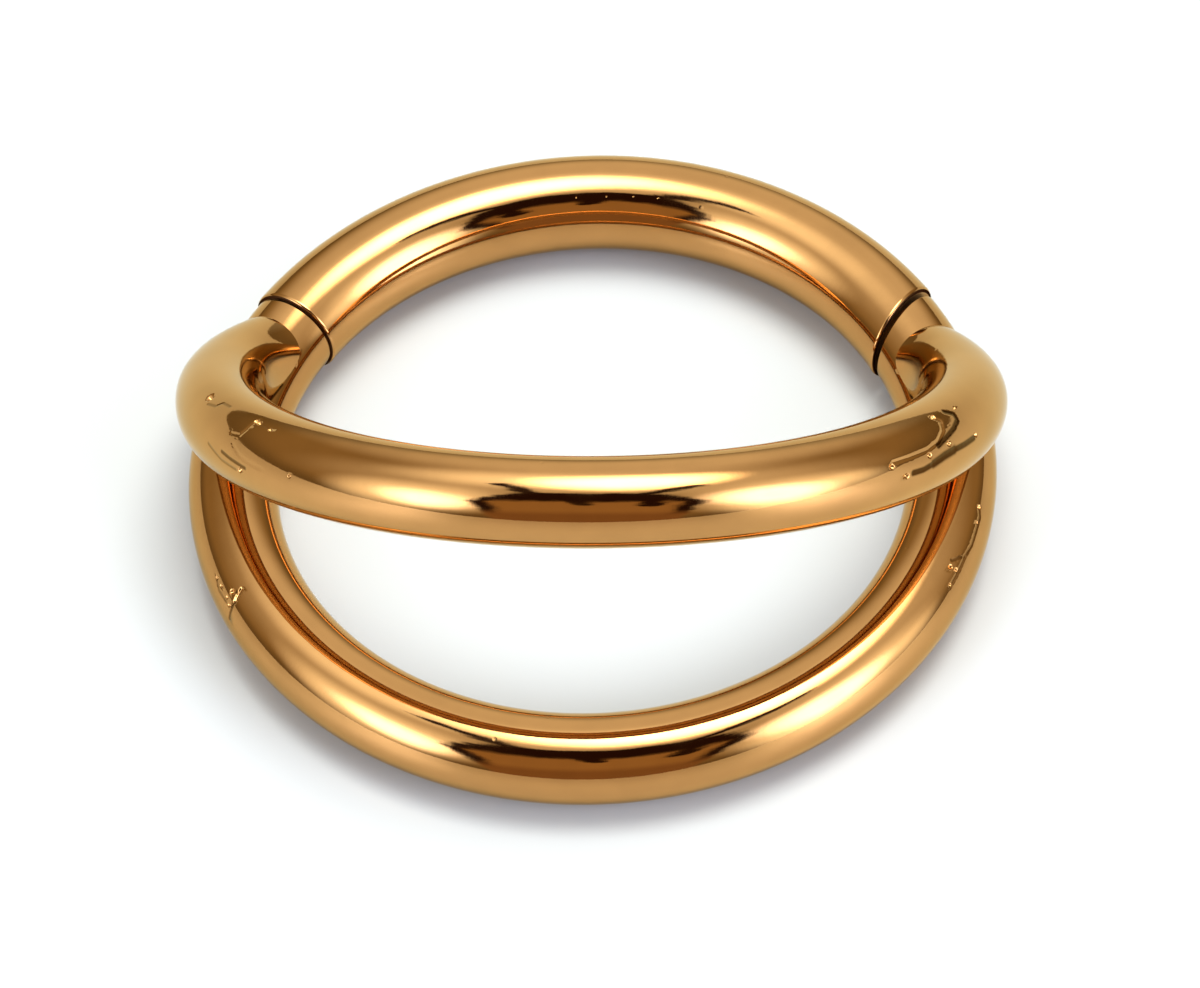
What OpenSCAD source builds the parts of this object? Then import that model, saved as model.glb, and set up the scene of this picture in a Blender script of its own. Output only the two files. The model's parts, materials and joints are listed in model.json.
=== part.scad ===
// Hinged segment ring with two front bars, lying flat. Millimetres, +Z up.
// The origin is on the surface it lies on, below the middle of the hoop.
// The front bars face -Y, the hinge is on the left (-X) and the closure on the right (+X).

/* [Hoop] */
// Radius of the hoop, from its axis to the middle of the metal
ring_r = 4.57; // [4.2:0.01:5.2]
// Thickness of the lower front bar
bar_d = 1.14; // [1.1:0.01:1.18]
// Thickness of the hinged segment at the back
seg_d = 1.22; // [1.2:0.01:1.26]

/* [Upper front bar] */
// Thickness of the upper front bar
upper_d = 1.13; // [1.08:0.01:1.14]
// Radius of the upper bar's long front arc
upper_r = 4.705; // [4.6:0.005:4.8]
// Radius of the tighter bend at each end of the upper bar
shoulder_r = 3.105; // [2.9:0.005:3.4]
// Angle from the middle of the front to where the tighter bend begins
shoulder_start = 88; // [80:1:88]
// How far the tighter bend turns before it meets the hoop
shoulder_turn = 35.5; // [33:0.5:37]
// Slope of the upper bar's plane
upper_tilt = 34.35; // [30:0.05:38]

/* [Seams] */
// Direction of the hinge seam, counted from +X
hinge_seam = 150.07; // [148:0.01:152]
// Width of the hinge seam at its outer side
hinge_gap = 0.03; // [0.025:0.005:0.04]
// How much the hinge seam widens towards the inside, in degrees
hinge_wedge = 1.8; // [0:0.1:2.5]
// Direction of the closure seam, counted from +X
close_seam = 30.93; // [30:0.01:32]
// Skew of the closure seam in the hoop's plane
close_skew = 24.8; // [20:0.1:26]
// Width of the closure seam
close_gap = 0.058; // [0.04:0.002:0.07]

/* [Hinge] */
// Radius of the hinge pin
pin_r = 0.09; // [0.08:0.005:0.09]
// Distance of the pin's axis behind the hinge seam
pin_back = 0.16; // [0.15:0.005:0.17]
// Distance of the pin's axis outside the middle of the metal
pin_out = 0.38; // [0.37:0.005:0.39]
// Thickness of the segment's tongue
tongue_t = 0.3; // [0.26:0.01:0.3]

/* [Closure] */
// Width of the square tab that clicks into the front piece
tab_w = 0.34; // [0.3:0.01:0.36]
// How far the tab reaches past the segment's end
tab_len = 0.46; // [0.4:0.01:0.5]

/* [Hidden] */
$fn = 96;
gold = [0.83, 0.62, 0.32];
base_z = seg_d / 2;
bar_r = bar_d / 2;
seg_r = seg_d / 2;
upper_tube_r = upper_d / 2;
// The pin's play in the front piece and in the tongue
pin_seat_play = 0.01;
pin_turn_play = 0.02;
pin_low = -0.28;
pin_high = 0.26;
pin_top_play = 0.02;
// The tongue's eye and neck, and their room in the fork
eye_r = 0.17;
neck_half = 0.12;
fork_r = 0.24;
fork_play = 0.03;
// Room round the closure tab
tab_play = 0.05;
tab_end_play = 0.1;
// How far a bar runs on before a slanting cut trims it, and a block larger than any section
trim_turn = 9;
block = 2;
// The upper bar's plane: its shoulders end on the middle of the hoop's metal, at base_z
shift = upper_r - shoulder_r;
shoulder_x = shift * sin(shoulder_start);
shoulder_y = -shift * cos(shoulder_start);
shoulder_from = shoulder_start - 90;
shoulder_to = shoulder_from + shoulder_turn;
// The shoulder's end lies inside the hoop's metal
run_in = 2;
// The shoulders are a hair thinner than the long arc, so each arc ends on an edge of its own
shoulder_step = 0.002;
end_u = shoulder_x + shoulder_r * cos(shoulder_to);
end_v = shoulder_y + shoulder_r * sin(shoulder_to);
// The upper bar joins just outside the middle of the metal
join_out = 0.017;
join_y = sqrt(pow(ring_r + join_out, 2) - pow(end_u, 2));

// A round bar bent to a circle's arc, from one direction to another
module bent_bar(r, tube_r, from, to) {
    rotate([0, 0, from])
        rotate_extrude(angle = to - from)
            translate([r, 0]) circle(r = tube_r);
}

// Frame at the hinge seam: +X runs into the segment, +Y points outward
module at_hinge_seam() {
    translate([0, 0, base_z])
        rotate([0, 0, hinge_seam])
            translate([ring_r, 0, 0])
                rotate([0, 0, -90]) children();
}

// Frame on the pin's axis, turned as the hinge seam's
module at_pin() {
    at_hinge_seam() translate([-pin_back, pin_out, 0]) children();
}

// Frame at the closure seam: +X is square to the cut and runs into the segment
module at_close_seam() {
    translate([ring_r * cos(close_seam), ring_r * sin(close_seam), base_z])
        rotate([0, 0, close_seam + 90 + close_skew]) children();
}

// Frame at the closure seam with +Y along the segment's swing
module at_tab() {
    translate([ring_r * cos(close_seam), ring_r * sin(close_seam), base_z]) children();
}

// Everything on the +X side of the frame's YZ plane, near the bar
module half_space() {
    translate([0, -block / 2, -block / 2]) cube([block, block, block]);
}

// One shoulder of the upper bar, on the right, in the upper bar's plane
module shoulder() {
    translate([shoulder_x, shoulder_y, 0])
        bent_bar(shoulder_r, upper_tube_r - shoulder_step, shoulder_from, shoulder_to + run_in);
}

module upper_bar() {
    translate([0, join_y - end_v * cos(upper_tilt), base_z + end_v * sin(upper_tilt)])
        rotate([-upper_tilt, 0, 0]) {
            bent_bar(upper_r, upper_tube_r, 270 - shoulder_start, 270 + shoulder_start);
            shoulder();
            mirror([1, 0, 0]) shoulder();
        }
}

module lower_bar() {
    difference() {
        translate([0, 0, base_z])
            bent_bar(ring_r, bar_r, hinge_seam, 360 + close_seam + trim_turn);
        at_close_seam() half_space();
    }
}

// Rounds the outer corner of the front piece about the pin, so that the segment can swing out
module knuckle_round() {
    difference() {
        translate([0, 0, -block / 2]) cube([block / 4, block / 4, block]);
        cylinder(r = pin_back, h = 2 * block, center = true);
    }
}

// Room for the tongue and for the pin
module fork_room() {
    cylinder(r = fork_r, h = tongue_t + 2 * fork_play, center = true);
    translate([0, 0, -block / 2])
        cylinder(r = pin_r + pin_seat_play, h = block / 2 + pin_high + pin_top_play);
}

// Room for the closure tab, open towards the seam
module tab_room() {
    w = tab_w + 2 * tab_play;
    translate([-w / 2, -tab_len - tab_end_play, -w / 2]) cube([w, 2 * tab_len, w]);
}

// The front piece: two bars soldered into one
module front_hoop() {
    color(gold)
        difference() {
            union() {
                lower_bar();
                upper_bar();
            }
            at_pin() knuckle_round();
            at_pin() fork_room();
            at_tab() tab_room();
        }
}

// The tongue that turns on the pin
module tongue() {
    cylinder(r = eye_r, h = tongue_t, center = true);
    translate([0, -neck_half, -tongue_t / 2]) cube([3 * pin_back, 2 * neck_half, tongue_t]);
}

module segment_bar() {
    difference() {
        translate([0, 0, base_z])
            bent_bar(ring_r, seg_r, close_seam - trim_turn, hinge_seam + trim_turn);
        at_hinge_seam()
            translate([hinge_gap, seg_r, 0]) rotate([0, 0, 180 + hinge_wedge])
                translate([0, block / 4, 0]) half_space();
        at_close_seam() translate([close_gap, 0, 0]) rotate([0, 0, 180]) half_space();
    }
}

module closure_tab() {
    translate([-tab_w / 2, -tab_len, -tab_w / 2]) cube([tab_w, 2 * tab_len, tab_w]);
}

module hinged_segment() {
    color(gold)
        difference() {
            union() {
                segment_bar();
                at_pin() tongue();
                at_tab() closure_tab();
            }
            at_pin() cylinder(r = pin_r + pin_turn_play, h = block, center = true);
        }
}

module hinge_pin() {
    color(gold * 0.9)
        at_pin() translate([0, 0, pin_low]) cylinder(r = pin_r, h = pin_high - pin_low);
}

front_hoop();
hinged_segment();
hinge_pin();
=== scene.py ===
"""A polished gold-coloured segment ring with a double front, lying on a pale floor.

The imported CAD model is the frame. The two large pieces are rebuilt here as dense meshes with exact
normals, because a mirror finish shows every facet. Lengths below are millimetres, in the ring's own
frame: +Z up, the double front towards -Y, the hinge at -X, and the floor at z = 0.
"""
import json
import math

import bmesh
import bpy
import numpy as np
from mathutils import Matrix, Vector


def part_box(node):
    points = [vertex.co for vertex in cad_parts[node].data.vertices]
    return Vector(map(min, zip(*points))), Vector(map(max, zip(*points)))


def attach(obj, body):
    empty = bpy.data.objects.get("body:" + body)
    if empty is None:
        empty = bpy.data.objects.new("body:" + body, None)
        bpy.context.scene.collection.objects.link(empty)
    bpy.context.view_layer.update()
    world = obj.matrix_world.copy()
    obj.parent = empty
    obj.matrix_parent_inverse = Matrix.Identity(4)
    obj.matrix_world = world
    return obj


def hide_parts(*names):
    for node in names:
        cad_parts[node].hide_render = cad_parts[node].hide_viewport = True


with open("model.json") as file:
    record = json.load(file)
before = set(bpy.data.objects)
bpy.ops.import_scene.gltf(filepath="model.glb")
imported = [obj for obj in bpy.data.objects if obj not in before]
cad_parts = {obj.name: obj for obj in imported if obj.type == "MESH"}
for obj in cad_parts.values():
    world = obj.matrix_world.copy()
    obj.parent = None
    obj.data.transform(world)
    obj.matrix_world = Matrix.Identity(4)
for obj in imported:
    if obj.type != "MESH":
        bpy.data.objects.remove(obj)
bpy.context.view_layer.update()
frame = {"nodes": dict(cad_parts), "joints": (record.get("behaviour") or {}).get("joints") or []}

MM = 0.001

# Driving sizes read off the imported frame
segment_low, segment_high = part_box("hinged_segment")
front_low, front_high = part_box("front_hoop")
pin_low, pin_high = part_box("hinge_pin")
hinge = frame["joints"][0]

SEG_R = (segment_high.z - segment_low.z) / 2 / MM
AXIS_Z = SEG_R
RING_R = segment_high.y / MM - SEG_R
BAR_R = AXIS_Z - front_low.z / MM

# The pin's axis, and how far it stands behind the hinge seam and outside the middle of the metal
PIN = np.array(hinge["pos_m"][:2]) / MM
PIN_OUT = 0.38
PIN_BACK = math.sqrt(PIN @ PIN - (RING_R + PIN_OUT) ** 2)
PIN_R = (pin_high.x - pin_low.x) / 2 / MM
PIN_SEAT_PLAY = 0.01
PIN_TURN_PLAY = 0.02

# The upper bar: a long front arc and two tighter shoulders in one tilted plane
UPPER_R = 4.705
UPPER_TUBE_R = 0.565
SHOULDER_R = 3.105
SHOULDER_START = 88.0
SHOULDER_TURN = 35.5
UPPER_TILT = math.radians(34.35)
JOIN_OUT = 0.017
RUN_IN = 2.0

# Seams
HINGE_SEAM = math.degrees(math.atan2(PIN[1], PIN[0]) - math.atan2(PIN_BACK, RING_R + PIN_OUT))
HINGE_GAP = 0.03
HINGE_WEDGE = 1.8
CLOSE_SEAM = 30.93
CLOSE_SKEW = 24.8
CLOSE_GAP = 0.058

# Hinge and closure, hidden while the ring is shut
TONGUE_T = 0.3
EYE_R = 0.17
NECK_HALF = 0.12
FORK_R = 0.24
FORK_PLAY = 0.03
TAB_W = 0.34
TAB_LEN = 0.46
TAB_PLAY = 0.05
TAB_END_PLAY = 0.1
TAB_BEVEL = 0.03
# The side of the block that shapes the hinge's knuckle, and the lowest and highest z of the cutters
# there and of the rod that rounds the block
CORNER_SIDE = 0.5
CUTTER_SPAN = (-1.0, 3.0)
KNUCKLE_SPAN = (-2.0, 4.0)

# Mesh density and the rounding of the bars' ends
SIDES = 96
STEP_DEG = 1.1
FRONT_RIM_R = 0.04
SEGMENT_RIM_R = 0.05
RIM_STEPS = 6
# The rings of an end face are spaced evenly within this share of the bar's radius
CAP_SHARE = 0.9
CAP_RINGS = 3
ROD_SIDES = 64
FINE_ROD_SIDES = 96
KNUCKLE_SIDES = 128

# Stands for a distance beyond everything on the ring
FAR = 9.0


def direction(degrees):
    """The flat unit vector at this angle from +X."""
    return np.array([math.cos(math.radians(degrees)), math.sin(math.radians(degrees))])


# Bars


def crossing(radii, line, offset, near):
    """Directions, in degrees, where circles about the origin cross a straight line, closest to `near`.

    The line is its normal and its distance from the origin, and `offset` moves it along the normal.
    """
    normal, distance = line
    turn = np.degrees(np.arccos(np.clip((distance + offset) / radii, -1, 1)))
    middle = math.degrees(math.atan2(normal[1], normal[0]))
    both = np.stack([middle + turn, middle - turn])
    both = (both - near + 180) % 360 - 180 + near
    return np.where(abs(both[0] - near) < abs(both[1] - near), both[0], both[1])


def bent_bar(tube_r, rim_r, start, end):
    """A round bar on the ring's circle between two cuts, whose end edges are rounded.

    Each cut is (near, normal, distance): the seam's direction, and the cut line's inward normal
    and its distance from the origin along that normal.
    """
    phi = np.linspace(0, 2 * math.pi, SIDES, endpoint=False)

    def ring(r, cut, back):
        """The ring of radius r that lies `back` behind the cut, and the directions of its points."""
        near, normal, distance = cut
        radii = RING_R + r * np.cos(phi)
        theta = np.radians(crossing(radii, (normal, distance), back, near))
        flat = radii[:, None] * np.stack([np.cos(theta), np.sin(theta)], -1)
        return np.column_stack([flat, AXIS_Z + r * np.sin(phi)]), theta

    def rolled(cut):
        """Rings from the middle of the end face out over the rounded edge."""
        rings = []
        for k in range(1, CAP_RINGS + 1):
            rings.append(ring(tube_r * k / (CAP_RINGS + 1) * CAP_SHARE, cut, 0)[0])
        for k in range(RIM_STEPS):
            t = math.pi / 2 * k / RIM_STEPS
            rings.append(ring(tube_r - rim_r * (1 - math.sin(t)), cut, rim_r * (1 - math.cos(t)))[0])
        return rings

    theta_a = ring(tube_r, start, rim_r)[1]
    theta_b = ring(tube_r, end, rim_r)[1]
    count = int(math.degrees(abs(theta_b - theta_a).max()) / STEP_DEG)
    radii = RING_R + tube_r * np.cos(phi)
    rings = rolled(start)
    for k in range(count + 1):
        theta = theta_a + (theta_b - theta_a) * k / count
        flat = radii[:, None] * np.stack([np.cos(theta), np.sin(theta)], -1)
        rings.append(np.column_stack([flat, AXIS_Z + tube_r * np.sin(phi)]))
    rings += rolled(end)[::-1]
    return rings


def upper_frame():
    """The upper bar's plane: its origin, its two axes, and the right shoulder's centre in it."""
    start = math.radians(SHOULDER_START)
    centre = (UPPER_R - SHOULDER_R) * np.array([math.sin(start), -math.cos(start)])
    end = centre + SHOULDER_R * direction(SHOULDER_START - 90 + SHOULDER_TURN)
    join_y = math.sqrt((RING_R + JOIN_OUT) ** 2 - end[0] ** 2)
    origin = np.array([0, join_y - end[1] * math.cos(UPPER_TILT),
                       AXIS_Z + end[1] * math.sin(UPPER_TILT)])
    to_right = np.array([1.0, 0, 0])
    to_back = np.array([0, math.cos(UPPER_TILT), -math.sin(UPPER_TILT)])
    return origin, to_right, to_back, centre


def upper_arcs():
    """(centre u, centre v, radius, from, to) of each arc of the upper bar, from right to left."""
    _, _, _, centre = upper_frame()
    low = SHOULDER_START - 90
    high = low + SHOULDER_TURN + RUN_IN
    return [
        (centre[0], centre[1], SHOULDER_R, high, low),
        (0.0, 0.0, UPPER_R, 270 + SHOULDER_START - 360, 270 - SHOULDER_START - 360),
        (-centre[0], centre[1], SHOULDER_R, -180 - low, -180 - high),
    ]


def upper_bar():
    """The rings of the upper bar, swept along its three arcs."""
    origin, ex, ey, _ = upper_frame()
    ez = np.cross(ex, ey)
    phi = np.linspace(0, 2 * math.pi, SIDES, endpoint=False)
    rings = []
    for index, (u, v, radius, start, end) in enumerate(upper_arcs()):
        count = max(2, int(abs(end - start) * radius / RING_R / STEP_DEG))
        # An arc after the first shares its first ring with the arc before it
        for k in range(0 if index == 0 else 1, count + 1):
            turn = direction(start + (end - start) * k / count)
            flat = np.array([u, v]) + (radius + UPPER_TUBE_R * np.cos(phi))[:, None] * turn
            rings.append(origin + flat[:, :1] * ex + flat[:, 1:] * ey
                         + UPPER_TUBE_R * np.sin(phi)[:, None] * ez)
    return rings


def solid_of_rings(name, rings):
    """A closed mesh object through rings of equal count, in millimetres."""
    bm = bmesh.new()
    rows = [[bm.verts.new(p) for p in ring] for ring in rings]
    for a, b in zip(rows, rows[1:]):
        for k in range(len(a)):
            n = (k + 1) % len(a)
            bm.faces.new((a[k], a[n], b[n], b[k]))
    for row in (rows[0], rows[-1]):
        middle = bm.verts.new(sum((v.co for v in row), Vector()) / len(row))
        for k in range(len(row)):
            bm.faces.new((row[k], row[(k + 1) % len(row)], middle))
    bmesh.ops.recalc_face_normals(bm, faces=bm.faces)
    return object_of(name, bm)


def object_of(name, bm):
    """An object in the scene that holds the finished mesh."""
    mesh = bpy.data.meshes.new(name)
    bm.to_mesh(mesh)
    bm.free()
    obj = bpy.data.objects.new(name, mesh)
    bpy.context.scene.collection.objects.link(obj)
    return obj


# Cutters and small solids


def rod(name, centre, radius, low, high, sides=ROD_SIDES):
    """An upright round bar about (x, y)."""
    bm = bmesh.new()
    rings = []
    for z in (low, high):
        rings.append([bm.verts.new((centre[0] + radius * math.cos(2 * math.pi * k / sides),
                                    centre[1] + radius * math.sin(2 * math.pi * k / sides), z))
                      for k in range(sides)])
    for k in range(sides):
        n = (k + 1) % sides
        bm.faces.new((rings[0][k], rings[0][n], rings[1][n], rings[1][k]))
    for ring in rings:
        bm.faces.new(ring)
    bmesh.ops.recalc_face_normals(bm, faces=bm.faces)
    return object_of(name, bm)


def slab(name, corner, along, across, size, low, high, bevel=0.0):
    """An upright block: `corner`, then size[0] along one flat direction and size[1] across it."""
    bm = bmesh.new()
    a, b = np.array(along) * size[0], np.array(across) * size[1]
    flat = [corner, corner + a, corner + a + b, corner + b]
    lower = [bm.verts.new((x, y, low)) for x, y in flat]
    upper = [bm.verts.new((x, y, high)) for x, y in flat]
    bm.faces.new(lower)
    bm.faces.new(upper)
    for k in range(4):
        n = (k + 1) % 4
        bm.faces.new((lower[k], lower[n], upper[n], upper[k]))
    bmesh.ops.recalc_face_normals(bm, faces=bm.faces)
    if bevel:
        bmesh.ops.bevel(bm, geom=bm.edges[:], offset=bevel, segments=3, profile=0.5, affect="EDGES")
    return object_of(name, bm)


def combine(obj, other, operation):
    """Booleans `other` into obj and removes it."""
    modifier = obj.modifiers.new("combine", "BOOLEAN")
    modifier.operation = operation
    modifier.solver = "EXACT"
    modifier.object = other
    bpy.context.view_layer.update()
    graph = bpy.context.evaluated_depsgraph_get()
    mesh = bpy.data.meshes.new_from_object(obj.evaluated_get(graph))
    obj.modifiers.clear()
    old = obj.data
    obj.data = mesh
    bpy.data.meshes.remove(old)
    spare = other.data
    bpy.data.objects.remove(other)
    bpy.data.meshes.remove(spare)


# The hinge seam's two directions: away from the ring's middle, and along the bar into the segment
seam_out = direction(HINGE_SEAM)
seam_along = np.array([seam_out[1], -seam_out[0]])


# The two pieces


def hinge_cut(offset, wedge):
    """The cut at the hinge seam: its normal into the segment, and its distance from the origin."""
    base = RING_R * seam_out + offset * seam_along + SEG_R * seam_out
    turn = math.radians(-wedge)
    normal = np.array([seam_along[0] * math.cos(turn) - seam_along[1] * math.sin(turn),
                       seam_along[0] * math.sin(turn) + seam_along[1] * math.cos(turn)])
    return normal, base @ normal


def close_cut(offset):
    """The cut at the closure seam, in the same form."""
    normal = direction(CLOSE_SEAM + 90 + CLOSE_SKEW)
    base = RING_R * direction(CLOSE_SEAM) + offset * normal
    return normal, base @ normal


def front_piece():
    """The two front bars in one, with the fork for the hinge and the pocket of the closure."""
    normal_a, distance_a = hinge_cut(0, 0)
    normal_b, distance_b = close_cut(0)
    bar = solid_of_rings("front", bent_bar(
        BAR_R, FRONT_RIM_R,
        (HINGE_SEAM, -normal_a, -distance_a),
        (360 + CLOSE_SEAM, -normal_b, -distance_b)))
    combine(bar, solid_of_rings("upper", upper_bar()), "UNION")
    # Rounded knuckle: the corner block less a rod about the pin
    corner = slab("corner", PIN, seam_along, seam_out, (CORNER_SIDE, CORNER_SIDE), *CUTTER_SPAN)
    combine(corner, rod("knuckle", PIN, PIN_BACK, *KNUCKLE_SPAN, KNUCKLE_SIDES), "DIFFERENCE")
    combine(bar, corner, "DIFFERENCE")
    half = TONGUE_T / 2 + FORK_PLAY
    combine(bar, rod("fork", PIN, FORK_R, AXIS_Z - half, AXIS_Z + half, FINE_ROD_SIDES), "DIFFERENCE")
    seat_top = pin_high.z / MM + 2 * PIN_SEAT_PLAY
    combine(bar, rod("bore", PIN, PIN_R + PIN_SEAT_PLAY, CUTTER_SPAN[0], seat_top), "DIFFERENCE")
    seam = RING_R * direction(CLOSE_SEAM)
    width = TAB_W + 2 * TAB_PLAY
    pocket = slab("pocket", seam + np.array([-width / 2, -TAB_LEN - TAB_END_PLAY]),
                  (1, 0), (0, 1), (width, 2 * TAB_LEN), AXIS_Z - width / 2, AXIS_Z + width / 2)
    combine(bar, pocket, "DIFFERENCE")
    return bar


def segment_piece():
    """The back bar with its tongue for the hinge and its closure tab."""
    normal_a, distance_a = hinge_cut(HINGE_GAP, HINGE_WEDGE)
    normal_b, distance_b = close_cut(CLOSE_GAP)
    bar = solid_of_rings("segment", bent_bar(
        SEG_R, SEGMENT_RIM_R,
        (CLOSE_SEAM, normal_b, distance_b),
        (HINGE_SEAM, normal_a, distance_a)))
    eye = rod("eye", PIN, EYE_R, AXIS_Z - TONGUE_T / 2, AXIS_Z + TONGUE_T / 2, FINE_ROD_SIDES)
    neck = slab("neck", PIN - NECK_HALF * seam_out, seam_along, seam_out,
                (3 * PIN_BACK, 2 * NECK_HALF), AXIS_Z - TONGUE_T / 2, AXIS_Z + TONGUE_T / 2)
    combine(eye, neck, "UNION")
    combine(bar, eye, "UNION")
    seam = RING_R * direction(CLOSE_SEAM)
    tab = slab("tab", seam + np.array([-TAB_W / 2, -TAB_LEN]), (1, 0), (0, 1),
               (TAB_W, 2 * TAB_LEN), AXIS_Z - TAB_W / 2, AXIS_Z + TAB_W / 2, bevel=TAB_BEVEL)
    combine(bar, tab, "UNION")
    combine(bar, rod("bore", PIN, PIN_R + PIN_TURN_PLAY, *CUTTER_SPAN), "DIFFERENCE")
    return bar


# Exact surfaces


# How far a vertex may lie from a tube that it belongs to, before and after it is set onto it
SETTLE = 0.0015
ON_TUBE = 0.0005
# How far past an arc's ends a point still belongs to it, in degrees
ARC_PLAY = 0.01
# The hoop's circle as tube_surface takes it: origin, two axes, centre and radius
HOOP_CIRCLE = (
    np.array([0, 0, AXIS_Z]),
    np.array([1.0, 0, 0]),
    np.array([0, 1.0, 0]),
    (0.0, 0.0),
    RING_R,
)
# The directions between which metal may lie on it: all round for the front, at the back for the segment
FRONT_ARC = (-200.0, 160.0)
SEGMENT_ARC = (0.0, 180.0)


def tube_surface(points, origin, ex, ey, centre, radius, tube_r, low, high):
    """Distance to a bent tube and its outward normal. Points off its arc are far."""
    ez = np.cross(ex, ey)
    q = points - origin
    u, v, w = q @ ex - centre[0], q @ ey - centre[1], q @ ez
    rho = np.hypot(u, v)
    theta = np.degrees(np.arctan2(v, u))
    middle = (low + high) / 2
    theta = (theta - middle + 180) % 360 - 180 + middle
    on_arc = (theta >= low - ARC_PLAY) & (theta <= high + ARC_PLAY)
    away = np.hypot(rho - radius, w)
    distance = np.where(on_arc, abs(away - tube_r), FAR)
    out = ((rho - radius) / rho / away)[:, None] * (u[:, None] * ex + v[:, None] * ey)
    return distance, out + (w / away)[:, None] * ez


def front_surfaces():
    """The front piece's tubes: the lower bar and the three arcs of the upper bar."""
    origin, ex, ey, _ = upper_frame()
    surfaces = [(*HOOP_CIRCLE, BAR_R, *FRONT_ARC)]
    for u, v, radius, start, end in upper_arcs():
        surfaces.append((origin, ex, ey, (u, v), radius, UPPER_TUBE_R, end, start))
    return surfaces


def segment_surfaces():
    """The segment's only tube."""
    return [(*HOOP_CIRCLE, SEG_R, *SEGMENT_ARC)]


# Dents and scratches


# Where the marks start to drop: above the whole piece, or between the upper and the lower bar
ABOVE = 9.0
BETWEEN = 1.3
FRONT_DENTS = [
    # height, half width, depth, painted dark reflection from 0 to 1, (x, y) points along the dent
    (ABOVE, 0.030, 0.003, 0.5, [(-4.67, -0.94), (-4.55, -1.08), (-4.45, -1.08), (-4.35, -1.22)]),
    (ABOVE, 0.035, 0.008, 0.0, [(-4.30, -1.73), (-4.17, -1.85), (-4.09, -1.82), (-3.96, -1.72)]),
    (ABOVE, 0.025, 0.005, 0.0, [(-3.89, -1.82), (-3.77, -1.98)]),
    (ABOVE, 0.050, 0.004, 0.0, [(-4.27, -1.89), (-4.16, -2.11), (-4.02, -2.28), (-3.88, -2.42)]),
    (ABOVE, 0.035, 0.004, 0.8, [(-4.42, -1.84), (-4.30, -2.01), (-4.09, -2.26)]),
    (ABOVE, 0.030, 0.003, 0.5, [(-4.62, -1.56), (-4.42, -1.90), (-4.22, -2.15)]),
    (ABOVE, 0.060, 0.006, 1.0, [(4.16, -2.17), (4.28, -2.04), (4.40, -1.88), (4.53, -1.68),
                                (4.65, -1.49), (4.77, -1.29), (4.88, -1.07)]),
    (ABOVE, 0.085, 0.006, 1.0, [(4.40, -1.88), (4.53, -1.68), (4.65, -1.49)]),
    (ABOVE, 0.045, 0.012, 0.0, [(4.35, -1.24), (4.47, -1.24), (4.50, -1.39), (4.45, -1.59),
                                (4.33, -1.80), (4.11, -2.06), (3.91, -2.26)]),
    (ABOVE, 0.055, 0.004, 1.0, [(4.51, -1.02), (4.62, -0.98), (4.67, -1.06), (4.63, -1.24),
                                (4.55, -1.44), (4.45, -1.65)]),
    (BETWEEN, 0.040, 0.018, 0.0, [(-4.28, -2.34), (-4.36, -2.45)]),
    (BETWEEN, 0.035, 0.008, 0.8, [(-4.37, -2.46), (-4.41, -2.51), (-4.44, -2.55)]),
    (BETWEEN, 0.030, 0.004, 0.5, [(-4.62, -2.05), (-4.59, -2.18), (-4.48, -2.38)]),
    (BETWEEN, 0.035, 0.005, 0.9, [(-4.34, -2.35)]),
    (BETWEEN, 0.035, 0.005, 0.5, [(4.93, -0.80), (4.94, -0.90), (4.90, -1.11), (4.85, -1.34),
                                  (4.77, -1.54), (4.61, -1.69)]),
    (BETWEEN, 0.035, 0.005, 0.4, [(4.77, -1.54), (4.69, -1.78), (4.59, -2.03)]),
]
# The front's pits need steep walls to mirror the light overhead, the back's only shallow ones
FRONT_PITS = [
    # height, radius, depth over radius, (x, y) of each pit
    (ABOVE, 0.085, 0.7, [(-4.65, -0.81)]),
    (ABOVE, 0.052, 0.7, [(4.35, -1.85), (4.58, -1.50)]),
    (ABOVE, 0.055, 0.7, [(-4.16, -2.21)]),
    (ABOVE, 0.045, 0.7, [(-3.96, -1.73), (-3.92, -1.78)]),
    (ABOVE, 0.035, 0.7, [(-3.77, -1.98), (-3.48, -2.73), (4.63, -0.84)]),
    (ABOVE, 0.050, 0.7, [(4.37, -1.22), (4.08, -2.26), (4.90, -1.01), (3.90, -2.31)]),
    (BETWEEN, 0.048, 0.7, [(-4.40, -2.32)]),
    (BETWEEN, 0.035, 0.7, [(-4.62, -2.03), (-4.56, -2.16), (-4.47, -2.34), (-4.44, -2.44)]),
    (BETWEEN, 0.040, 0.7, [(4.93, -0.77), (4.59, -1.79), (4.66, -1.79)]),
    (BETWEEN, 0.030, 0.7, [(4.91, -1.00), (4.59, -2.01)]),
]
SEGMENT_PITS = [
    (ABOVE, 0.018, 0.15, [(-0.39, 4.21), (0.0, 4.23), (0.35, 4.23), (0.67, 4.20)]),
]
# The edges of the faces within this margin of a mark are cut this often
REFINE_CUTS = 7
REFINE_MARGIN = 0.02
# The depth's gradient is found from points this far to each side
GRADIENT_STEP = 0.001
# Keep divisions clear of zero: a run's length squared, and the squared sine between two normals
LEAST_RUN_SQUARED = 1e-9
LEAST_SINE_SQUARED = 1e-6
# A crease is where two tubes' outward normals have a dot product below CREASE_BEND. Painted shade
# fills it, fully up to CREASE_DARK and fading out by the distance after it, both in mm away from it.
CREASE_BEND = 0.75
CREASE_REACH = 0.3
CREASE_DARK = 0.008
CREASE_UNSHADED = 0.032


def values(items, name, kind=np.int32, width=1):
    """One number, or a vector of `width` numbers, from each of a mesh's elements."""
    flat = np.empty(len(items) * width, kind)
    items.foreach_get(name, flat)
    return flat if width == 1 else flat.reshape(-1, width).astype(float)


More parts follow.
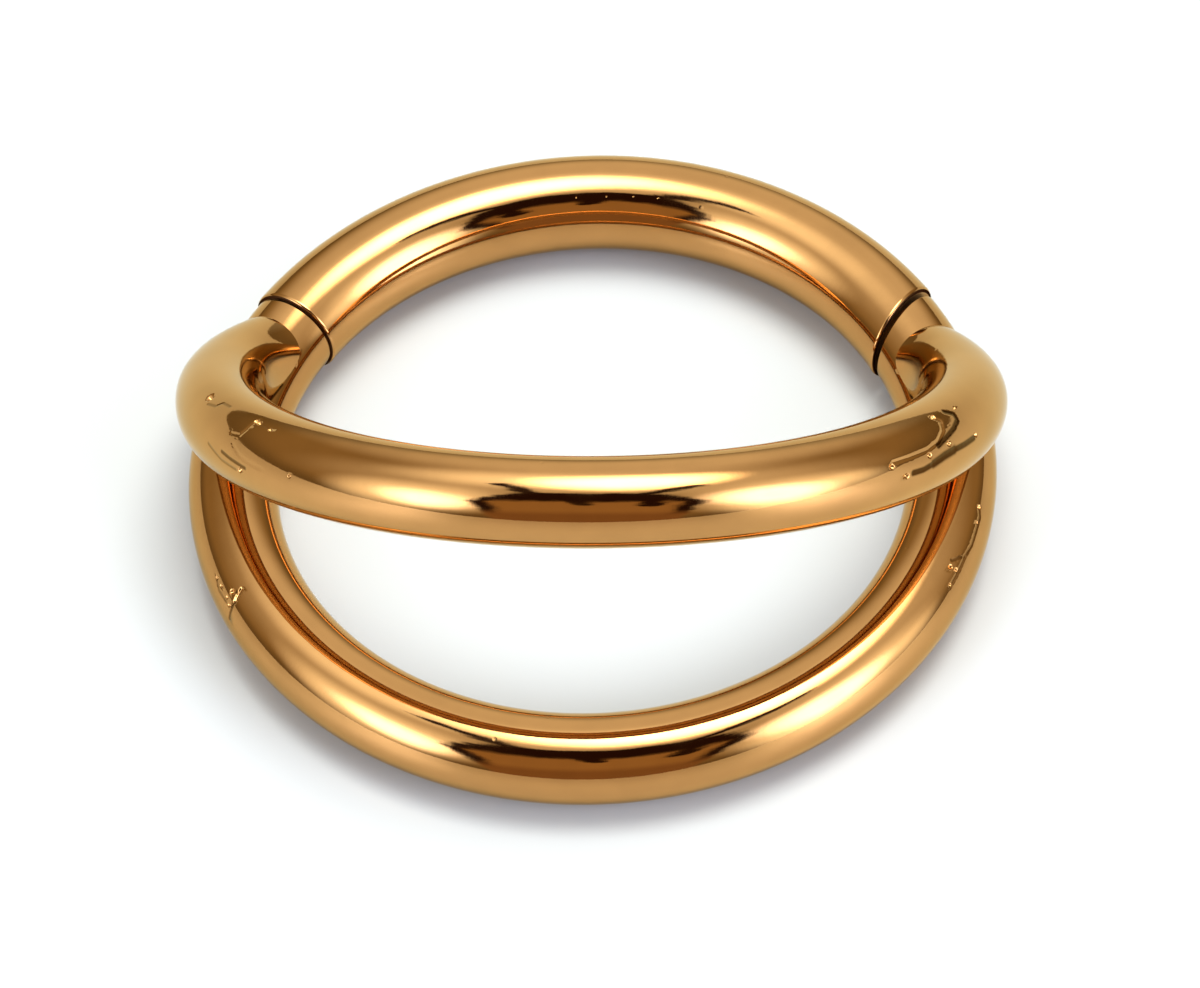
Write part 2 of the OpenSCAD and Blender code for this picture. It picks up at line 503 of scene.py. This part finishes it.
def marks_on(obj, dents, pits):
    """Drops the (x, y) points of every dent and pit from their height onto the piece."""
    bpy.context.view_layer.update()
    rows = list(dents)
    for height, radius, steepness, places in pits:
        rows += [(height, radius, steepness * radius, 0.0, [place]) for place in places]
    found = []
    for height, half_width, depth, painted_dark, places in rows:
        points = [np.array(obj.ray_cast((x, y, height), (0, 0, -1))[1]) for x, y in places]
        found.append((points, half_width, depth, painted_dark))
    return found


def away_from(points, line):
    """Distance of each point from a line of straight runs, or from one point."""
    nearest = np.full(len(points), FAR)
    for start, end in list(zip(line, line[1:])) or [(line[0], line[0])]:
        run = end - start
        share = np.clip((points - start) @ run / max(run @ run, LEAST_RUN_SQUARED), 0, 1)
        nearest = np.minimum(nearest, np.linalg.norm(points - start - share[:, None] * run, axis=1))
    return nearest


def sunk(points, marks):
    """How deep each point lies in the marks, and how much painted dark reflection it takes."""
    deep = np.zeros(len(points))
    painted_dark_share = np.zeros(len(points))
    for line, half_width, depth, painted_dark in marks:
        t = np.clip(1 - away_from(points, line) / half_width, 0, 1)
        share = t * t * (3 - 2 * t)
        deep += depth * share
        # The painted dark reflection fills the lower half of the mark and fades out up its walls
        painted_dark_share = np.maximum(painted_dark_share, painted_dark * np.clip(2 * share, 0, 1))
    return deep, painted_dark_share


def sink_slope(points, marks):
    """The gradient of the depth at each point."""
    steps = GRADIENT_STEP * np.eye(3)
    rises = [sunk(points + step, marks)[0] - sunk(points - step, marks)[0] for step in steps]
    return np.stack(rises, -1) / (2 * GRADIENT_STEP)


def refine(obj, marks):
    """Cuts the faces about each mark into a fine grid."""
    bm = bmesh.new()
    bm.from_mesh(obj.data)
    centres = np.array([f.calc_center_median() for f in bm.faces])
    near = np.zeros(len(centres), bool)
    for line, half_width, _, _ in marks:
        near |= away_from(centres, line) < half_width + REFINE_MARGIN
    bm.faces.ensure_lookup_table()
    edges = {e for k in np.flatnonzero(near) for e in bm.faces[k].edges}
    bmesh.ops.subdivide_edges(
        bm, edges=sorted(edges, key=lambda e: e.index), cuts=REFINE_CUTS, use_grid_fill=True)
    bm.to_mesh(obj.data)
    bm.free()


def crease(points, surfaces):
    """1 where two tubes meet at an angle, falling to 0 at CREASE_REACH away along the surface."""
    found = [tube_surface(points, *surface) for surface in surfaces]
    nearest = np.full(len(points), CREASE_REACH)
    for own, (own_distance, own_out) in enumerate(found):
        for other, (distance, out) in enumerate(found):
            bend = np.einsum("ij,ij->i", own_out, out)
            meets = (own_distance < SETTLE) & (bend < CREASE_BEND) & (own != other)
            away = distance / np.sqrt(np.maximum(1 - bend ** 2, LEAST_SINE_SQUARED))
            nearest = np.where(meets, np.minimum(nearest, away), nearest)
    return 1 - nearest / CREASE_REACH


def wear(obj, marks, surfaces):
    """Sets the mesh exactly onto its tubes, presses the marks into it and stores the painted dark
    reflections of its dents.

    Returns where the vertices would lie without the marks.
    """
    refine(obj, marks)
    points = values(obj.data.vertices, "co", np.float32, 3)
    outward = np.zeros_like(points)
    smooth = points.copy()
    for surface in surfaces:
        distance, out = tube_surface(points, *surface)
        close = distance < SETTLE
        radial = tube_surface(points + out * SETTLE, *surface)[0] - distance
        side = np.where(radial > 0, 1.0, -1.0)
        smooth[close] = (points - out * (distance * side)[:, None])[close]
        outward[close] = out[close]
    deep, painted_dark_share = sunk(smooth, marks)
    worn = smooth - outward * deep[:, None]
    obj.data.vertices.foreach_set("co", worn.astype(np.float32).ravel())
    # Where painted dark reflections darken the dents
    painted_dark = obj.data.attributes.new("painted_dark", "FLOAT", "POINT")
    painted_dark.data.foreach_set("value", painted_dark_share.astype(np.float32))
    # How near each vertex lies to a crease, for the painted shade there
    line = obj.data.attributes.new("crease", "FLOAT", "POINT")
    line.data.foreach_set("value", crease(smooth, surfaces).astype(np.float32))
    obj.data.update()
    return smooth


# Exact normals


# Edges sharper than this stay sharp
SHARP_ANGLE = math.radians(32)
# A corner takes a tube's normal if its face leans less than this from it
FACE_LEAN = math.radians(40)


def polish(obj, surfaces, places, marks):
    """Gives each corner the exact normal of the tube that its vertex lies on, if its face follows it.

    The marks tilt it. `places` are the vertices as they would lie without the marks.
    """
    mesh = obj.data
    mesh.set_sharp_from_angle(angle=SHARP_ANGLE)
    mesh.polygons.foreach_set("use_smooth", np.ones(len(mesh.polygons), bool))
    mesh.update()
    normals = values(mesh.corner_normals, "vector", np.float32, 3)
    vertex = values(mesh.loops, "vertex_index")
    totals = values(mesh.polygons, "loop_total")
    face_normals = np.repeat(values(mesh.polygons, "normal", np.float32, 3), totals, axis=0)
    best = np.full(len(mesh.loops), math.cos(FACE_LEAN))
    slope = sink_slope(places, marks)
    for surface in surfaces:
        distance, out = tube_surface(places, *surface)
        along = np.einsum("ij,ij->i", slope, out)
        out = out + slope - along[:, None] * out
        out /= np.linalg.norm(out, axis=1)[:, None]
        fit = np.einsum("ij,ij->i", out[vertex], face_normals)
        use = (distance[vertex] < ON_TUBE) & (fit > best)
        normals[use] = out[vertex][use]
        best = np.where(use, fit, best)
    mesh.normals_split_custom_set(normals)


# Finished pieces


# The seam's painted shade, near-black metal, reaches up its rounded rim to this share of the rim's
# radius, and down to this depth in mm. The faces below it are seen only while the ring is open.
CUT_FROM = 0.38
SEAM_DEPTH = 0.12


def depths(mesh, places, surfaces):
    """How deep each polygon's middle lies below the nearest tube's surface, without the marks."""
    vertex = values(mesh.loops, "vertex_index")
    starts = values(mesh.polygons, "loop_start")
    totals = values(mesh.polygons, "loop_total")
    centres = np.add.reduceat(places[vertex], starts, axis=0) / totals[:, None]
    return np.min([tube_surface(centres, *surface)[0] for surface in surfaces], axis=0)


def finish_piece(obj, name, body, node, materials, surfaces, rim_r, dents, pits):
    """Wears and polishes the mesh, brings it to metres and hands it to the frame for its CAD node."""
    marks = marks_on(obj, dents, pits)
    places = wear(obj, marks, surfaces)
    polish(obj, surfaces, places, marks)
    deep = depths(obj.data, places, surfaces)
    # 0 is the polished metal, 1 the near-black painted shade of a seam and 2 the metal below it
    index = (deep > rim_r * CUT_FROM).astype(np.int32) + (deep > SEAM_DEPTH)
    obj.data.materials.clear()
    for material in materials:
        obj.data.materials.append(material)
    obj.data.polygons.foreach_set("material_index", index.astype(np.int32))
    obj.data.transform(Matrix.Scale(MM, 4))
    obj.name = obj.data.name = name
    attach(obj, body)
    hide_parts(node)


# Node trees


class Tree:
    """Short forms for wiring shader nodes."""

    def __init__(self, tree):
        self.tree = tree
        tree.nodes.clear()

    def node(self, kind, inputs=None, **settings):
        made = self.tree.nodes.new(kind)
        for key, value in settings.items():
            setattr(made, key, value)
        for key, value in (inputs or {}).items():
            self.put(made.inputs[key], value)
        return made

    def put(self, socket, value):
        """Links a socket, or sets the value of one."""
        if isinstance(value, bpy.types.NodeSocket):
            self.tree.links.new(value, socket)
        else:
            socket.default_value = value

    def math(self, operation, *terms, clamp=False):
        made = self.node("ShaderNodeMath", dict(enumerate(terms)), operation=operation, use_clamp=clamp)
        return made.outputs[0]

    def scaled(self, colour, level):
        """A colour times a number."""
        made = self.node("ShaderNodeVectorMath", {0: colour, "Scale": level}, operation="SCALE")
        return made.outputs["Vector"]

    def hypot(self, a, b):
        return self.math("SQRT", self.math("MULTIPLY_ADD", a, a, self.math("MULTIPLY", b, b)))

    def stroke(self, x, y, start, end):
        """Distance in the (x, y) plane to the straight line between two points."""
        run_x, run_y = end[0] - start[0], end[1] - start[1]
        dx = self.math("SUBTRACT", x, start[0])
        dy = self.math("SUBTRACT", y, start[1])
        along = self.math("MULTIPLY_ADD", dx, run_x, self.math("MULTIPLY", dy, run_y))
        share = self.math("DIVIDE", along, run_x ** 2 + run_y ** 2, clamp=True)
        return self.hypot(self.math("MULTIPLY_ADD", share, -run_x, dx),
                          self.math("MULTIPLY_ADD", share, -run_y, dy))

    def ramp(self, value, low, high, to_low=0.0, to_high=1.0):
        """A smooth step between two values; low may be above high."""
        made = self.node("ShaderNodeMapRange",
                         {"Value": value, "From Min": low, "From Max": high,
                          "To Min": to_low, "To Max": to_high},
                         interpolation_type="SMOOTHSTEP")
        return made.outputs["Result"]

    def mix(self, factor, a, b, blend="MIX"):
        made = self.node("ShaderNodeMix", {"Factor": factor}, data_type="RGBA", blend_type=blend)
        for key, value in (("A", a), ("B", b)):
            self.put(made.inputs[key], (*value, 1.0) if isinstance(value, tuple) else value)
        return made.outputs["Result"]

    def noise(self, place, scale, detail=2.0, roughness=0.5):
        made = self.node("ShaderNodeTexNoise",
                         {"Vector": place, "Scale": scale, "Detail": detail, "Roughness": roughness})
        return made.outputs["Fac"]


# Materials


GOLD = (0.52, 0.262, 0.086)
PIN_GOLD = (0.46, 0.24, 0.085)
# The metal's colour at grazing angles
EDGE_TINT = (0.92, 0.86, 0.64)
# The cut faces: near-black painted shade along the seams' rims, and brighter below
SEAM_SHADE_METAL = (0.07, 0.03, 0.012)
SEAM_SHADE_EDGE_TINT = (0.2, 0.12, 0.08)
SAWN = (0.46, 0.23, 0.08)
# Painted dark reflection in the beds of some dents and painted shade in the creases, both dark brown
PAINTED_DARK_COLOUR = (0.085, 0.03, 0.005)
PAINTED_DARK_ROUGHNESS = 0.08
# Scales of the polished metal's noises, per mm: its waviness, its grain and its clouds
WAVES_PER_MM = 0.9
GRAINS_PER_MM = 7.0
CLOUDS_PER_MM = 2.2
# The clouds' levels between which the polish changes, and the roughness there as shares of the metal's
POLISH_LEVELS = (0.35, 0.75)
POLISH_SHARES = (0.7, 1.5)
# The clouds' levels between which the colour changes, and its share at the higher one
COLOUR_LEVELS = (0.3, 0.7)
COLOUR_SHARE = 0.94
# Small pits: cells per mm, the share of cells that hold one, their size in cells, their depth in mm
# and the roughness that they add
PITS_PER_MM = 3.2
PIT_SHARE = 0.1
PIT_SIZE = 0.12
PIT_DEPTH = 0.0016
PIT_ROUGHNESS = 0.2
# Cut metal: its noise per mm, that noise's height in mm, the levels between which its roughness
# changes, the roughness there, and the colour's darkest share
SAWN_PER_MM = 12.0
SAWN_HEIGHT = 0.004
SAWN_LEVELS = (0.3, 0.7)
SAWN_ROUGHNESS = (0.35, 0.5)
SAWN_SHARE = 0.6


def new_metal(name):
    """A node material, its empty tree and the place on the object."""
    material = bpy.data.materials.new(name)
    material.use_nodes = True
    t = Tree(material.node_tree)
    return material, t, t.node("ShaderNodeTexCoord").outputs["Object"]


def wire_metal(t, height, roughness, colour, edge_tint):
    """Makes bare metal with a bump, whose height is in mm, the material's surface."""
    bump = t.node("ShaderNodeBump", {"Height": height, "Strength": 1.0, "Distance": MM})
    shader = t.node("ShaderNodeBsdfPrincipled",
                    {"Metallic": 1.0, "Roughness": roughness, "Normal": bump.outputs["Normal"],
                     "Base Color": colour, "Specular Tint": (*edge_tint, 1.0)})
    output = t.node("ShaderNodeOutputMaterial")
    t.put(output.inputs["Surface"], shader.outputs["BSDF"])


def gold(name, colour, roughness, wave, grain):
    """Polished gold-coloured metal: faint waviness, fine grain, small pits and uneven polish."""
    material, t, place = new_metal(name)
    broad = t.noise(place, WAVES_PER_MM / MM, detail=1.0)
    fine = t.noise(place, GRAINS_PER_MM / MM, detail=3.0, roughness=0.6)
    height = t.math("MULTIPLY_ADD", broad, wave, t.math("MULTIPLY", fine, grain))
    spots = t.node("ShaderNodeTexVoronoi", {"Vector": place, "Scale": PITS_PER_MM / MM})
    chance = t.node("ShaderNodeSeparateXYZ", {"Vector": spots.outputs["Color"]}).outputs[0]
    picked = t.math("GREATER_THAN", chance, 1.0 - PIT_SHARE)
    pit = t.math("MULTIPLY", t.ramp(spots.outputs["Distance"], PIT_SIZE, 0.0), picked)
    height = t.math("MULTIPLY_ADD", pit, -PIT_DEPTH, height)
    cloud = t.noise(place, CLOUDS_PER_MM / MM, detail=4.0)
    polish_range = [roughness * share for share in POLISH_SHARES]
    rough = t.math("ADD", t.ramp(cloud, *POLISH_LEVELS, *polish_range),
                   t.math("MULTIPLY", pit, PIT_ROUGHNESS))
    # Painted dark reflections in the dents, joined below by the creases' painted shade, darken and
    # roughen the metal
    painted_dark = t.node("ShaderNodeAttribute", attribute_name="painted_dark").outputs["Fac"]
    line = t.node("ShaderNodeAttribute", attribute_name="crease").outputs["Fac"]
    # Painted shade darkens the metal along the creases
    crease_shade = t.ramp(line, 1 - CREASE_UNSHADED / CREASE_REACH, 1 - CREASE_DARK / CREASE_REACH)
    painted_dark = t.math("MAXIMUM", painted_dark, crease_shade)
    rough = t.math("MULTIPLY_ADD", painted_dark, PAINTED_DARK_ROUGHNESS, rough)
    dull = tuple(c * COLOUR_SHARE for c in colour)
    clean = t.mix(t.ramp(cloud, *COLOUR_LEVELS), colour, dull)
    # The painted dark reflections and the creases' painted shade darken the colour here
    wire_metal(t, height, rough, t.mix(painted_dark, clean, PAINTED_DARK_COLOUR), EDGE_TINT)
    return material


def sawn(name, colour, edge_tint):
    """Dull metal of the cut faces inside the seams; along the seams' rims its colour is near-black
    painted shade.
    """
    material, t, place = new_metal(name)
    fine = t.noise(place, SAWN_PER_MM / MM, detail=3.0, roughness=0.6)
    height = t.math("MULTIPLY", fine, SAWN_HEIGHT)
    rough = t.ramp(fine, *SAWN_LEVELS, *SAWN_ROUGHNESS)
    darkest = tuple(c * SAWN_SHARE for c in colour)
    wire_metal(t, height, rough, t.mix(fine, colour, darkest), edge_tint)
    return material


# Stage, light and camera


FLOOR_HALF = 600.0
# The sheet's colour makes up for the warm light
FLOOR_COLOUR = (0.520, 0.541, 0.522)
FLOOR_ROUGHNESS = 0.3


def floor():
    """A wide, slightly glossy pale sheet under the ring."""
    half = FLOOR_HALF * MM
    mesh = bpy.data.meshes.new("floor")
    corners = [(-half, -half, 0), (half, -half, 0), (half, half, 0), (-half, half, 0)]
    mesh.from_pydata(corners, [], [(0, 1, 2, 3)])
    sheet = bpy.data.objects.new("floor", mesh)
    bpy.context.scene.collection.objects.link(sheet)
    material = bpy.data.materials.new("pale_sheet")
    material.use_nodes = True
    shader = material.node_tree.nodes["Principled BSDF"]
    shader.inputs["Base Color"].default_value = (*FLOOR_COLOUR, 1)
    shader.inputs["Roughness"].default_value = FLOOR_ROUGHNESS
    mesh.materials.append(material)


# Soft lights of the studio, by direction: degrees from straight up, to the right and to the front.
# Each has a core inside its inner radii that fades out at its outer radii.
WHITE = (1.0, 0.98, 0.95)
COOL = (1.0, 1.17, 1.38)
BLUISH = (0.66, 0.72, 1.0)
LIGHTS = [
    # right, front, inner right, inner front, outer right, outer front, strength, colour
    (9, -10, 7, 7, 26.5, 25.5, 10.0, WHITE),
    (-8, -14, 5, 5, 40, 28, 1.05, COOL),
    (6, -4, 5, 5, 90, 46, 0.88, COOL),
    (2, -57, 10, 12, 42, 46, 0.7, COOL),
    (-48, 42, 4, 4, 21, 28, 7.0, BLUISH),
    (-50, 37, 10, 10, 39, 42, 1.9, COOL),
    (58, 31, 8, 8, 29, 27, 7.5, BLUISH),
    (64, 32, 12, 12, 42, 48, 1.75, COOL),
    (72, 55, 4, 4, 32, 22, 1.2, COOL),
    (83, 55, 4, 4, 26, 24, 1.05, COOL),
    (78, 4, 3, 3, 20, 18, 0.6, COOL),
]
# The room between the lights, the share of it that is left at the horizon, and the directions,
# in degrees from straight up, between which it fades
ROOM = (0.43, 0.34, 0.19)
ROOM_LOW_SHARE = 0.55
ROOM_FADE = (72, 90)
# Keeps the division for directions clear of zero straight up
LEAST_SPREAD = 1e-4

# The dim gap between the two front lights, in the same degrees. It widens downwards from its flat
# top, two strokes stand up from its top corners like horns, and its lower part is brown between
# dark outer arms, crossed by two dark strokes.
GAP_TOP = 17.0
GAP_HALF = 16.5
GAP_WIDEN = 0.8
GAP_WIDEN_REACH = 24.0
GAP_RIGHT = 2.0
GAP_SOFT = 2.2
GAP_ARM = (4.0, 9.0)
GAP_HORNS = [
    # start, end, core radius, outer radius
    ((-17.5, -1.0), (-12.0, 18.0), 1.5, 4.5),
    ((25.0, 4.0), (16.0, 20.0), 1.5, 4.5),
]
GAP_INNER_STROKES = [
    # start, end, core radius, outer radius
    ((20.0, 30.0), (22.0, 48.0), 2.0, 5.0),
    ((-1.0, 36.0), (1.0, 44.0), 1.5, 4.0),
]
# How far noise moves the gap's edges, to the sides and up or down
GAP_RAGGED = (6.0, 8.0)
GAP_RAGGED_SCALE = 10.0
GAP_DARK = (0.03, 0.012, 0.008)
GAP_BROWN = (0.52, 0.34, 0.16)
GAP_BROWN_FROM = (34, 42)
GAP_LOW = (0.36, 0.21, 0.10)
GAP_LOW_FROM = (58, 74)


def studio():
    """The light of the scene: a warm room with soft lights and the dim gap between two of them."""
    world = bpy.data.worlds.new("studio")
    world.use_nodes = True
    bpy.context.scene.world = world
    t = Tree(world.node_tree)
    ray = t.node("ShaderNodeTexCoord").outputs["Generated"]
    x, y, z = t.node("ShaderNodeSeparateXYZ", {"Vector": ray}).outputs
    polar = t.math("MULTIPLY", t.math("ARCCOSINE", z), 180 / math.pi)
    spread = t.math("DIVIDE", polar, t.math("MAXIMUM", t.hypot(x, y), LEAST_SPREAD))
    right = t.math("MULTIPLY", spread, x)
    front = t.math("MULTIPLY", t.math("MULTIPLY", spread, y), -1.0)

    room_low = tuple(c * ROOM_LOW_SHARE for c in ROOM)
    total = t.mix(t.ramp(polar, *ROOM_FADE), ROOM, room_low)
    for at_right, at_front, in_right, in_front, out_right, out_front, strength, colour in LIGHTS:
        du = t.math("DIVIDE", t.math("SUBTRACT", right, at_right), out_right)
        dv = t.math("DIVIDE", t.math("SUBTRACT", front, at_front), out_front)
        away = t.hypot(du, dv)
        inner = (in_right / out_right + in_front / out_front) / 2
        level = t.ramp(away, 1.0, inner, 0.0, strength)
        total = t.mix(1.0, total, t.scaled(colour, level), "ADD")

    ragged = t.node("ShaderNodeTexNoise", {"Vector": ray, "Scale": GAP_RAGGED_SCALE, "Detail": 2.0})
    shake = t.node("ShaderNodeSeparateXYZ", {"Vector": ragged.outputs["Color"]}).outputs

    def shaken(value, channel, reach):
        """A direction moved by noise."""
        return t.math("ADD", value, t.math("MULTIPLY", t.math("SUBTRACT", shake[channel], 0.5), reach))

    gap_x = shaken(right, 0, GAP_RAGGED[0])
    gap_y = shaken(front, 1, GAP_RAGGED[1])
    below = t.math("SUBTRACT", gap_y, GAP_TOP)
    half = t.math("MULTIPLY_ADD", t.math("MINIMUM", below, GAP_WIDEN_REACH), GAP_WIDEN, GAP_HALF)
    within = t.math("SUBTRACT", half, t.math("ABSOLUTE", t.math("SUBTRACT", gap_x, GAP_RIGHT)))
    inside = t.math("MULTIPLY", t.ramp(within, -GAP_SOFT, GAP_SOFT), t.ramp(below, -GAP_SOFT, GAP_SOFT))
    for start, end, core, outer in GAP_HORNS:
        inside = t.math("MAXIMUM", inside, t.ramp(t.stroke(gap_x, gap_y, start, end), outer, core))
    middle = t.math("MULTIPLY", t.ramp(gap_y, *GAP_BROWN_FROM), t.ramp(within, *GAP_ARM))
    for start, end, core, outer in GAP_INNER_STROKES:
        middle = t.math("MULTIPLY", middle, t.ramp(t.stroke(gap_x, gap_y, start, end), core, outer))
    gap = t.mix(middle, GAP_DARK, GAP_BROWN)
    gap = t.mix(t.ramp(front, *GAP_LOW_FROM), gap, GAP_LOW)
    shade = t.node("ShaderNodeBackground", {"Color": t.mix(inside, total, gap), "Strength": 1.0})
    output = t.node("ShaderNodeOutputWorld")
    t.put(output.inputs["Surface"], shade.outputs[0])
    bpy.context.scene.view_settings.view_transform = "Standard"


# The photograph's camera: distance and offsets in ring radii, angles in degrees
CAMERA_DISTANCE = 25.0
CAMERA_RIGHT = 0.0182
CAMERA_UP = -0.0579
CAMERA_ELEVATION = 50.81
CAMERA_AZIMUTH = 5.15
CAMERA_ROLL = -3.188
# The lens and the sensor's width in mm, and the range of distances seen in metres
CAMERA_LENS = 269.58
CAMERA_SENSOR = 36
CAMERA_RANGE = (0.01, 10)


def camera():
    """Stands where the photograph's camera stood and becomes the scene's camera."""
    a, e, roll = (math.radians(v) for v in (CAMERA_AZIMUTH, CAMERA_ELEVATION, CAMERA_ROLL))
    back = Vector((math.sin(a) * math.cos(e), -math.cos(a) * math.cos(e), math.sin(e)))
    right = Vector((math.cos(a), math.sin(a), 0))
    up = back.cross(right)
    across = right * math.cos(roll) + up * math.sin(roll)
    upward = -right * math.sin(roll) + up * math.cos(roll)
    from_ring = (back * CAMERA_DISTANCE + right * CAMERA_RIGHT + up * CAMERA_UP) * RING_R
    place = from_ring + Vector((0, 0, AXIS_Z))
    data = bpy.data.cameras.new("camera")
    data.lens = CAMERA_LENS
    data.sensor_width = CAMERA_SENSOR
    data.clip_start, data.clip_end = CAMERA_RANGE
    obj = bpy.data.objects.new("camera", data)
    bpy.context.scene.collection.objects.link(obj)
    turn = Matrix((across, upward, back)).transposed().to_4x4()
    obj.matrix_world = Matrix.Translation(place * MM) @ turn
    bpy.context.scene.camera = obj


camera()
studio()
floor()
metals = [
    gold("polished_gold", GOLD, roughness=0.06, wave=0.004, grain=0.0004),
    # Painted shade for the seams' rims and the cut faces just inside them
    sawn("seam_shade_metal", SEAM_SHADE_METAL, SEAM_SHADE_EDGE_TINT),
    sawn("sawn_gold", SAWN, EDGE_TINT),
]
finish_piece(front_piece(), "front_hoop_polished", "front", "front_hoop",
             metals, front_surfaces(), FRONT_RIM_R, FRONT_DENTS, FRONT_PITS)
finish_piece(segment_piece(), "hinged_segment_polished", "segment", "hinged_segment",
             metals, segment_surfaces(), SEGMENT_RIM_R, [], SEGMENT_PITS)
pin = frame["nodes"]["hinge_pin"]
pin.data.materials.clear()
pin.data.materials.append(gold("pin_gold", PIN_GOLD, roughness=0.2, wave=0.0, grain=0.002))
